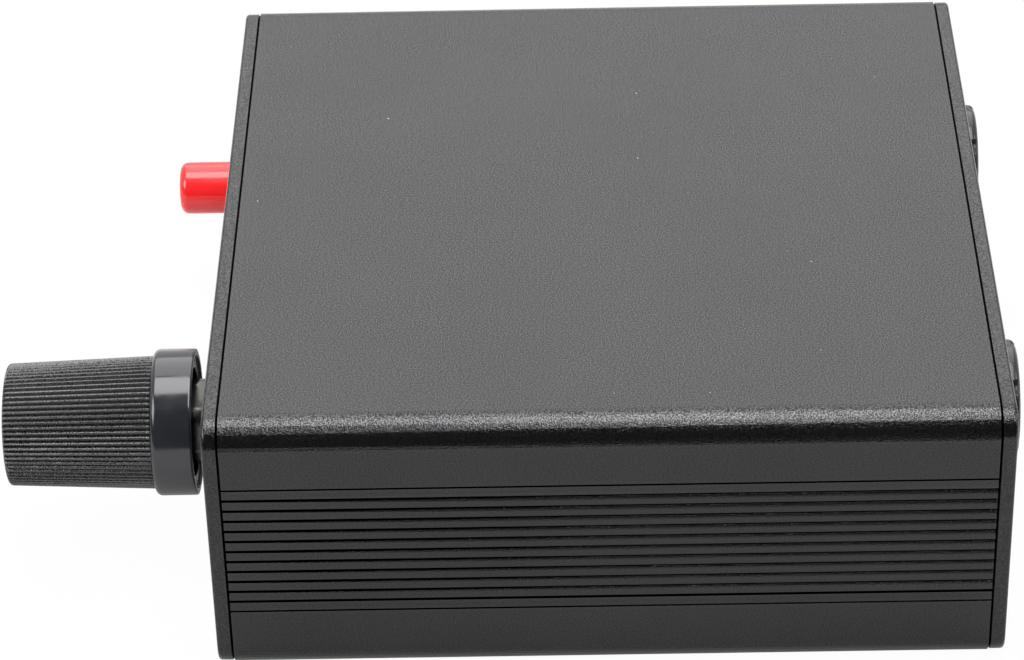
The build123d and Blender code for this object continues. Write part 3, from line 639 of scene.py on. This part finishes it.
def makeKnob(make):
    low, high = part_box("knob")
    centre = middleOf("knob")
    base, tip = high[1] / mm + make["baseReach"], low[1] / mm
    skirtTop = base - make["skirtLength"]
    outer, root, end = make["skirtRadius"], make["rootRadius"], make["tipRadius"]
    ring = base - make["ringStep"]
    hollow = base - make["hollowDepth"]
    boreEnd = base - make["boreDepth"]
    soft, lip, axis = make["soft"], make["lip"], make["axisRadius"]
    rings = [(axis, boreEnd, 0), (make["boreRadius"], boreEnd, 0), (make["boreRadius"], hollow, 0),
             (make["hollowRadius"] - soft, hollow, 0), (make["hollowRadius"], hollow + soft, 0),
             (make["hollowRadius"], ring - soft, 0), (make["hollowRadius"] + soft, ring, 0),
             (make["ringRadius"] - lip, ring, 0), (make["ringRadius"], ring + lip, 0),
             (make["ringRadius"], base - lip, 0), (make["ringRadius"] + lip, base, 0),
             (outer - 2 * soft, base, 0), (outer - soft / 2, base - soft / 2, 0), (outer, base - 2 * soft, 0)]
    # a ring near each end of the skirt's straight run keeps its shading flat
    turn, hold = make["skirtRound"], make["skirtHold"]
    rings += [(outer, base - 2 * soft - hold, 0), (outer, skirtTop + turn + hold, 0)]
    rings += [(r, y, 0) for r, y in
              arcPoints((outer - turn, skirtTop + turn), turn, 0, -90, make["skirtRoundSteps"])]
    inward, rise = make["ribRise"]
    rings += [(root + make["ledge"], skirtTop, 0), (root, skirtTop - make["ribFoot"], 1),
              (root - inward, skirtTop - rise, 1)]
    turn, shares = make["tipRound"], make["tipShares"]
    rings += [(r, y, share) for (r, y), share in
              zip(arcPoints((end - turn, tip + turn), turn, 0, -90, len(shares) - 1), shares)]
    dish, floor = make["dishRadius"], tip + make["dishDepth"]
    rings += [(dish + make["dishEdge"], tip, 0), (dish, floor, 0), (make["dishRing"], floor, 0),
              (axis, floor, 0)]
    bm = bmesh.new()
    perRib = len(make["ribShape"])

    def ribbed(step, radius, share):
        return radius - share * make["ribDepth"] * make["ribShape"][step % perRib]

    ringSweep(bm, centre, rings, make["ribs"] * perRib, ribbed)
    bmesh.ops.remove_doubles(bm, verts=bm.verts, dist=make["axisMerge"] * mm)
    bmesh.ops.holes_fill(bm, edges=[e for e in bm.edges if e.is_boundary])
    for face in bm.faces:
        middle = face.calc_center_median()
        reach = math.hypot(middle.x - centre[0], middle.z - centre[1]) / mm
        # the base ring's faces take the grey with painted light
        onBase = middle.y > (ring - 2 * soft) * mm and make["hollowRadius"] < reach < outer - soft
        onGrip = middle.y < (skirtTop - make["gripEdge"]) * mm
        face.material_index = 0 if onGrip else 2 if onBase else 1
    knob = finishPiece(bm, "knobRibbedAndSkirted", "volume_dial",
                       [knobRibbed, knobGloss, knobBasePaintedLight], "knob")
    width, length, depth = make["pointer"]
    bm = bmesh.new()
    bmesh.ops.create_cube(bm, size=1.0)
    bmesh.ops.scale(bm, vec=(width * mm, 2 * depth * mm, length * mm), verts=bm.verts)
    top = centre[1] + (end - make["pointerMargin"] - length / 2) * mm
    bmesh.ops.translate(bm, vec=(centre[0], tip * mm, top), verts=bm.verts)
    carve(knob, [cutterFrom(bm, "pointerSlot", pointerPaint)])


makeKnob(knobMake)
print("stage: knob made")


# Button: glossy cap with a rounded end and a socket for the switch's stem
buttonMake = {
    "round": 1.05,
    "roundSteps": 8,
    "backRound": 0.18,
    "faceRing": 0.45,  # share of the radius
    "socketRadius": 2.3,
    "socketDepth": 6.5,
    "steps": 96,
}


def makeButton(make):
    low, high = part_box("button_cap")
    centre = middleOf("button_cap")
    radius = (high[0] - low[0]) / 2 / mm
    tip, back = low[1] / mm, high[1] / mm
    turn, soft, socket = make["round"], make["backRound"], make["socketRadius"]
    points = [(0, back - make["socketDepth"]), (socket, back - make["socketDepth"]), (socket, back),
              (radius - soft, back), (radius, back - soft)]
    points += arcPoints((radius - turn, tip + turn), turn, 0, -90, make["roundSteps"])
    points += [(radius * make["faceRing"], tip), (0, tip)]
    bm = bmesh.new()
    spinPoints(bm, points, centre, make["steps"])
    finishPiece(bm, "buttonCapGlossy", "push_button", [redGloss], "button_cap")


makeButton(buttonMake)
print("stage: button made")


# Return spring: round wire wound round the switch's stem
springMake = {"wireRadius": 0.2, "closedPitch": 0.45, "turns": 4, "steps": 32, "sides": 12, "sharp": 50.0}


def makeSpring(make):
    low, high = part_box("switch_spring")
    x, z = middleOf("switch_spring")
    wire, coil = make["wireRadius"] * mm, (high[0] - low[0]) / 2 - make["wireRadius"] * mm
    first, rise = low[1] + wire, high[1] - low[1] - 2 * wire
    # the end turns lie almost closed and the ones between them share what is left
    closed, active = make["closedPitch"] * mm, make["turns"] - 2
    pitches = [closed] + [(rise - 2 * closed) / active] * active + [closed]
    bm = bmesh.new()
    made = bmesh.ops.create_circle(bm, segments=make["sides"], radius=wire,
                                   matrix=Matrix.Translation((x + coil, first, z)))
    end = made["verts"] + list(bm.edges)
    for pitch in pitches:
        wound = bmesh.ops.spin(bm, geom=end, cent=(x, 0, z), axis=(0, 1, 0),
                               dvec=(0, pitch / make["steps"], 0), angle=math.tau, steps=make["steps"])
        end = wound["geom_last"]
    bmesh.ops.holes_fill(bm, edges=[e for e in bm.edges if e.is_boundary])
    spring = finishPiece(bm, "buttonReturnSpring", "case", [springBrass], "switch_spring",
                         make["sharp"])
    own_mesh(spring)


makeSpring(springMake)
print("stage: return spring made")


# Jack nuts and the thin washers
jackNutMake = {
    "round": 0.75,
    "roundTo": 72,  # degrees
    "roundSteps": 5,
    "seatRound": 0.2,
    "boreRadius": 5.62,
    "steps": 144,
    "notches": 6,
    "notchSteps": 4,
    "notchTurn": 6,
    "notchDepth": 0.38,
    "notchHeight": 1.1,
    "notchFloor": 0.12,
    "notchFace": 0.4,  # share of the notch's depth that is left at the face
}
washerMake = {"round": 0.08, "steps": 96, "bores": {"jack": 5.8, "pot": 3.6}}


def makeJackNut(make, jack):
    node = jack + "_nut"
    low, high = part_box(node)
    centre = middleOf(node)
    radius = (high[2] - low[2]) / 2 / mm
    seat, face = low[1] / mm, high[1] / mm
    perNotch = make["steps"] // make["notches"]

    def notched(step, radius, share):
        inNotch = (step + make["notchTurn"]) % perNotch < make["notchSteps"]
        return radius - (share * make["notchDepth"] if inNotch else 0.0)

    turn, soft, bore = make["round"], make["seatRound"], make["boreRadius"]
    notchEnd = face - make["notchHeight"]
    rings = [(bore, seat, 0), (radius - soft, seat, 0), (radius, seat + soft, 0),
             (radius, notchEnd - make["notchFloor"], 0), (radius, notchEnd, 1)]
    rings += [(r, y, 1) for r, y in
              arcPoints((radius - turn, face - turn), turn, 0, make["roundTo"], make["roundSteps"])]
    rings += [(radius - turn, face, make["notchFace"]), (bore + soft, face, 0), (bore, face - soft, 0),
              (bore, seat, 0)]
    bm = bmesh.new()
    ringSweep(bm, centre, rings, make["steps"], notched)
    finishPiece(bm, jack.replace("_", "") + "RoundNut", "case", [jackPlastic], node)


def makeWasher(make, node, boreKind):
    low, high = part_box(node)
    centre = middleOf(node)
    radius = (high[0] - low[0]) / 2 / mm
    ends = (low[1] / mm, high[1] / mm)
    bore, soft = make["bores"][boreKind], make["round"]
    rings = [(bore, ends[0], 0), (radius - soft, ends[0], 0), (radius, ends[0] + soft, 0),
             (radius, ends[1] - soft, 0), (radius - soft, ends[1], 0), (bore + soft, ends[1], 0),
             (bore, ends[1] - soft, 0), (bore, ends[0], 0)]
    bm = bmesh.new()
    ringSweep(bm, centre, rings, make["steps"])
    finishPiece(bm, node.replace("_", "") + "Thin", "case", [brightMetal], node)


# The control's hexagon nut
controlNutMake = {
    "across": 10.0,
    "cornerRadius": 5.4,
    "turn": 15.0,  # degrees
    "boreRadius": 3.47,
    "faceRadius": 4.75,
    "faceSlope": 0.35,
    "collarRadius": 5.2,
    "collarLength": 0.7,
    "neckRadius": 4.8,
    "neckLength": 0.22,
    "edge": 0.11,
    "brightSlopeSpan": (0.3, 0.9),  # faces whose normal's Y lies in this span, the slopes and turned edges, keep bright metal; the rest is darkened as painted shade
    "steps": 144,
    "sharp": 24.0,
}


def makeControlNut(make):
    low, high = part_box("pot_nut")
    centre = middleOf("pot_nut")
    face, seat = low[1] / mm, high[1] / mm
    corner, collar, neck = make["cornerRadius"], make["collarRadius"], make["neckRadius"]
    bore, edge = make["boreRadius"], make["edge"]

    def hexagon(step, radius, share):
        sector = math.tau / 6
        angle = math.tau * step / make["steps"] - math.radians(make["turn"])
        fromFlat = (angle + sector / 2) % sector - sector / 2
        return min(radius, make["across"] / 2 / math.cos(fromFlat)) if share else radius

    # a round collar at the seat, a thin neck, then the six flats with corners turned round
    collarEnd = seat - make["collarLength"]
    neckEnd = collarEnd - make["neckLength"]
    rings = [(bore, seat, 0), (collar - edge, seat, 0), (collar, seat - edge, 0),
             (collar, collarEnd + edge, 0), (collar - edge, collarEnd, 0), (neck, collarEnd - edge, 0),
             (neck, neckEnd, 0), (corner - edge, neckEnd - edge, 1), (corner, neckEnd - 2 * edge, 1),
             (corner, face + make["faceSlope"], 1), (make["faceRadius"], face, 0), (bore + edge, face, 0),
             (bore, face + edge, 0), (bore, seat, 0)]
    bm = bmesh.new()
    ringSweep(bm, centre, rings, make["steps"], hexagon)
    # the slopes keep bright metal; the other faces take the nickel with painted shade
    least, most = make["brightSlopeSpan"]
    for side in bm.faces:
        side.normal_update()
        side.material_index = 1 if least < abs(side.normal.y) < most else 0
    finishPiece(bm, "controlHexNut", "case", [nickelPaintedShade, brightMetal], "pot_nut",
                make["sharp"])


makeControlNut(controlNutMake)

for jackName in ("input_jack", "output_jack"):
    makeJackNut(jackNutMake, jackName)
    makeWasher(washerMake, jackName + "_washer", "jack")
makeWasher(washerMake, "pot_washer", "pot")
print("stage: nuts and washers made")


# End plates: rounded outer edge, a fine chamfer at the seam, holes and countersinks
plateMake = {
    "cornerRadius": 3.4,
    "cornerSteps": 12,
    "edgeRound": 0.45,
    "edgeSteps": 4,
    "seamChamfer": 0.3,
    "holeSteps": 96,
    "sinkSteps": 64,
    "sinkRadii": (2.8, 1.6),
    "sinkDepth": 1.3,
    "screwInset": 2.75,
    "cutPast": 0.5,
    "inletHeight": 16.2,
}
plateHoles = {  # (radius, node that it is round)
    "front_plate": ((3.55, "pot_washer"), (3.78, "button_cap")),
    "rear_plate": ((5.7, "input_jack_nut"), (5.7, "output_jack_nut"), (3.9, "dc_socket_pin")),
}


def turnedCutter(points, centre, steps, name):
    bm = bmesh.new()
    spinPoints(bm, points, centre, steps)
    bmesh.ops.remove_doubles(bm, verts=bm.verts, dist=mergeGap)
    return cutterFrom(bm, name)


def screwPlaces(node):
    low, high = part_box(node)
    inset = plateMake["screwInset"] * mm
    return [(x, z) for x in (low[0] + inset, high[0] - inset) for z in (low[2] + inset, high[2] - inset)]


def makePlate(make, node, screws, way):
    low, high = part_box(node)
    inside, outside = (low[1], high[1]) if way > 0 else (high[1], low[1])
    bm = bmesh.new()
    bmesh.ops.create_cube(bm, size=1.0)
    size = [high[k] - low[k] for k in range(3)]
    bmesh.ops.scale(bm, vec=size, verts=bm.verts)
    bmesh.ops.translate(bm, vec=[(high[k] + low[k]) / 2 for k in range(3)], verts=bm.verts)
    corners = [e for e in bm.edges if abs(e.verts[0].co.y - e.verts[1].co.y) > sameLevel]
    bmesh.ops.bevel(bm, geom=corners, offset=make["cornerRadius"] * mm, segments=make["cornerSteps"],
                    affect="EDGES", profile=0.5, material=-1)
    for level, width, steps in ((outside, make["edgeRound"], make["edgeSteps"]),
                                (inside, make["seamChamfer"], 1)):
        rim = [e for e in bm.edges if all(abs(v.co.y - level) < sameLevel for v in e.verts)]
        bmesh.ops.bevel(bm, geom=rim, offset=width * mm, segments=steps, affect="EDGES",
                        profile=0.5, material=-1)
    plate = finishPiece(bm, node.replace("_p", "P"), "case", [anodisedPlate], node)
    # each cutter runs past both faces; a screw's hole and its countersink are one solid
    past = make["cutPast"]
    back, out = inside / mm - way * past, outside / mm + way * past
    cutters = []
    for number, (radius, around) in enumerate(plateHoles[node]):
        centre = middleOf(around)
        if around == "dc_socket_pin":
            centre = (centre[0], make["inletHeight"] * mm)
        cutters.append(turnedCutter([(0, back), (radius, back), (radius, out), (0, out)], centre,
                                    make["holeSteps"], "hole" + str(number)))
    wide, narrow = make["sinkRadii"]
    wider = wide + (wide - narrow) / make["sinkDepth"] * past
    deep = outside / mm - way * make["sinkDepth"]
    sink = [(0, back), (narrow, back), (narrow, deep), (wider, out), (0, out)]
    for number, centre in enumerate(screwPlaces(screws)):
        cutters.append(turnedCutter(sink, centre, make["sinkSteps"], "sink" + str(number)))
    carve(plate, cutters)


makePlate(plateMake, "front_plate", "front_screws", -1)
makePlate(plateMake, "rear_plate", "rear_screws", 1)
print("stage: end plates made")


# Plate screws: countersunk heads with a cross recess
screwMake = {
    "headRadius": 2.75,
    "headDepth": 1.3,
    "rim": 0.12,
    "radius": 1.35,
    "length": 8.0,
    "tipRound": 0.3,
    "steps": 48,
    "cross": (0.75, 3.0, 1.1),  # width, length and depth
    "crossTaper": 0.6,
    "crossTurn": 23,  # degrees
    "crossTurnOn": 31,  # each screw stopped this much further round than the last
}


def makeScrewSet(make, node, way):
    low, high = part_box(node)
    outside = (high[1] if way > 0 else low[1]) / mm
    head, rim, stem, end = make["headRadius"], make["rim"], make["radius"], make["tipRound"]
    tip = outside - way * make["length"]
    points = [(0, outside), (head - rim, outside), (head, outside - way * rim),
              (stem, outside - way * make["headDepth"]), (stem, outside - way * (make["length"] - end)),
              (stem - end, tip), (0, tip)]
    bm = bmesh.new()
    cutters = []
    for number, centre in enumerate(screwPlaces(node)):
        single = bmesh.new()
        spinPoints(single, points, centre, make["steps"])
        mesh = bpy.data.meshes.new("screwDraft")
        single.to_mesh(mesh)
        single.free()
        bm.from_mesh(mesh)
        bpy.data.meshes.remove(mesh)
        width, length, depth = make["cross"]
        for bar, (alongX, alongZ) in enumerate(((width, length), (length, width))):
            cross = bmesh.new()
            bmesh.ops.create_cube(cross, size=1.0)
            bmesh.ops.scale(cross, vec=(alongX * mm, 2 * depth * mm, alongZ * mm), verts=cross.verts)
            deep = [v for v in cross.verts if v.co.y * way < 0]
            bmesh.ops.scale(cross, vec=(make["crossTaper"], 1.0, make["crossTaper"]), verts=deep)
            turn = math.radians(make["crossTurn"] + make["crossTurnOn"] * number)
            bmesh.ops.rotate(cross, cent=(0, 0, 0), verts=cross.verts, matrix=Matrix.Rotation(turn, 3, "Y"))
            bmesh.ops.translate(cross, vec=(centre[0], outside * mm, centre[1]), verts=cross.verts)
            cutters.append(cutterFrom(cross, "cross" + str(number) + str(bar)))
    screws = finishPiece(bm, node.replace("_s", "S"), "case", [blackSteel], node)
    carve(screws, cutters)


makeScrewSet(screwMake, "front_screws", -1)
makeScrewSet(screwMake, "rear_screws", 1)
print("stage: screws made")


# Floor and room, in metres
studio = {
    "floorSize": 6.0,
    "floorCells": 8,
    "paper": ((0.65, 0.65, 0.65, 1), (0.67, 0.67, 0.67, 1)),
    "fibre": (14.0, 3.0),  # scale and detail of the noise
    "glow": 0.97,  # share of the floor that is plain white to the eye; the rest keeps the shadow
    "mirroredGlow": 0.1,  # the same share in reflections
    "worldDim": 0.28,  # the room's plain light
    "roomDark": 0.18,  # the dark part of the room in reflections
    "darkFrom": (0.3, 0.0),  # the room's mirrored light fades over this span of a direction's X
    "sheetEnd": (0.24, 0.17),  # and the floor sheet's over this span of X in front of the object
}


def makeFloor(setup):
    bm = bmesh.new()
    cells = setup["floorCells"]
    bmesh.ops.create_grid(bm, x_segments=cells, y_segments=cells, size=setup["floorSize"] / 2)
    mesh = bpy.data.meshes.new("floor")
    bm.to_mesh(mesh)
    bm.free()
    floor = bpy.data.objects.new("floor", mesh)
    bpy.context.scene.collection.objects.link(floor)
    finish = bpy.data.materials.new("paleFloor")
    finish.use_nodes = True
    tree = finish.node_tree
    tree.nodes.clear()
    out = add(tree, "ShaderNodeOutputMaterial")
    paper = add(tree, "ShaderNodeBsdfDiffuse")
    coords = add(tree, "ShaderNodeTexCoord").outputs["Object"]
    fibre = noise(tree, coords, *setup["fibre"])
    join(tree, blendColour(tree, fibre.outputs["Fac"], *setup["paper"]), paper.inputs["Color"])
    glow = add(tree, "ShaderNodeEmission")
    glow.inputs["Strength"].default_value = 1.0
    path = add(tree, "ShaderNodeLightPath")
    mirrored = mathNode(tree, "MAXIMUM", path.outputs["Is Glossy Ray"], path.outputs["Is Transmission Ray"])
    seen = mathNode(tree, "MAXIMUM", mathNode(tree, "MULTIPLY", path.outputs["Is Camera Ray"], setup["glow"]),
                    mathNode(tree, "MULTIPLY", mirrored, setup["mirroredGlow"]))
    mix = add(tree, "ShaderNodeMixShader")
    join(tree, seen, mix.inputs[0])
    join(tree, paper.outputs[0], mix.inputs[1])
    join(tree, glow.outputs[0], mix.inputs[2])
    # in mirrors the white sheet ends a little way in front of the object and the dark room follows
    place = add(tree, "ShaderNodeSeparateXYZ")
    join(tree, coords, place.inputs[0])
    beyond = spread(tree, place.outputs["X"], *setup["sheetEnd"], 1.0, 0.0)
    room = add(tree, "ShaderNodeEmission")
    room.inputs["Strength"].default_value = setup["roomDark"]
    end = add(tree, "ShaderNodeMixShader")
    join(tree, mathNode(tree, "MULTIPLY", beyond, path.outputs["Is Glossy Ray"]), end.inputs[0])
    join(tree, mix.outputs[0], end.inputs[1])
    join(tree, room.outputs[0], end.inputs[2])
    join(tree, end.outputs[0], out.inputs["Surface"])
    mesh.materials.append(finish)


def makeWorld(setup):
    world = bpy.data.worlds.new("studioWorld")
    bpy.context.scene.world = world
    world.use_nodes = True
    tree = world.node_tree
    tree.nodes.clear()
    out = add(tree, "ShaderNodeOutputWorld")
    room = add(tree, "ShaderNodeBackground")
    room.inputs["Color"].default_value = (1, 1, 1, 1)
    join(tree, room.outputs[0], out.inputs["Surface"])
    path = add(tree, "ShaderNodeLightPath")
    # the room is white behind the object and dark round the camera, as in a small studio
    split = add(tree, "ShaderNodeSeparateXYZ")
    join(tree, add(tree, "ShaderNodeTexCoord").outputs["Generated"], split.inputs[0])
    white = spread(tree, split.outputs["X"], *setup["darkFrom"], setup["roomDark"], 1.0)
    mirrored = mathNode(tree, "MAXIMUM", path.outputs["Is Glossy Ray"], path.outputs["Is Transmission Ray"])
    level = spread(tree, mirrored, 0.0, 1.0, setup["worldDim"], white)
    join(tree, spread(tree, path.outputs["Is Camera Ray"], 0.0, 1.0, level, 1.0), room.inputs["Strength"])


# Lamps: soft boxes that no camera sees; places and sizes in metres, power in watts
softboxes = {
    "overhead": {"place": (0.133, 0.09, 1.05), "aim": (0.0, 0.09, 0.02), "size": (0.32, 0.996), "power": 7.0},
    "overKnob": {"place": (-0.0875, -0.245, 1.05), "aim": (0.0, -0.245, 0.02), "size": (0.35, 0.555),
                 "power": 3.5},
    "behind": {"place": (-1.05, 0.0, 1.05), "aim": (0.0, 0.0, 0.02), "size": (1.4, 1.2), "power": 10.4},
    "front": {"place": (0.6, -0.9, 0.95), "aim": (0.0, 0.0, 0.02), "size": (0.8, 0.8), "power": 12.0},
    "rear": {"place": (0.3, 1.0, 0.95), "aim": (0.0, 0.0, 0.02), "size": (0.8, 0.8), "power": 6.0},
}


def makeLamp(name, setup):
    data = bpy.data.lights.new(name, "AREA")
    data.shape = "RECTANGLE"
    data.size, data.size_y = setup["size"]
    data.energy = setup["power"]
    lamp = bpy.data.objects.new(name, data)
    lamp.location = setup["place"]
    aim = Vector(setup["aim"]) - Vector(setup["place"])
    lamp.rotation_euler = aim.to_track_quat("-Z", "Y").to_euler()
    lamp.visible_camera = False
    bpy.context.scene.collection.objects.link(lamp)


makeFloor(studio)
makeWorld(studio)
for lampName, lampSetup in softboxes.items():
    makeLamp(lampName + "Softbox", lampSetup)
view = bpy.context.scene.view_settings
view.view_transform = "Standard"
print("stage: floor, room and lamps set")
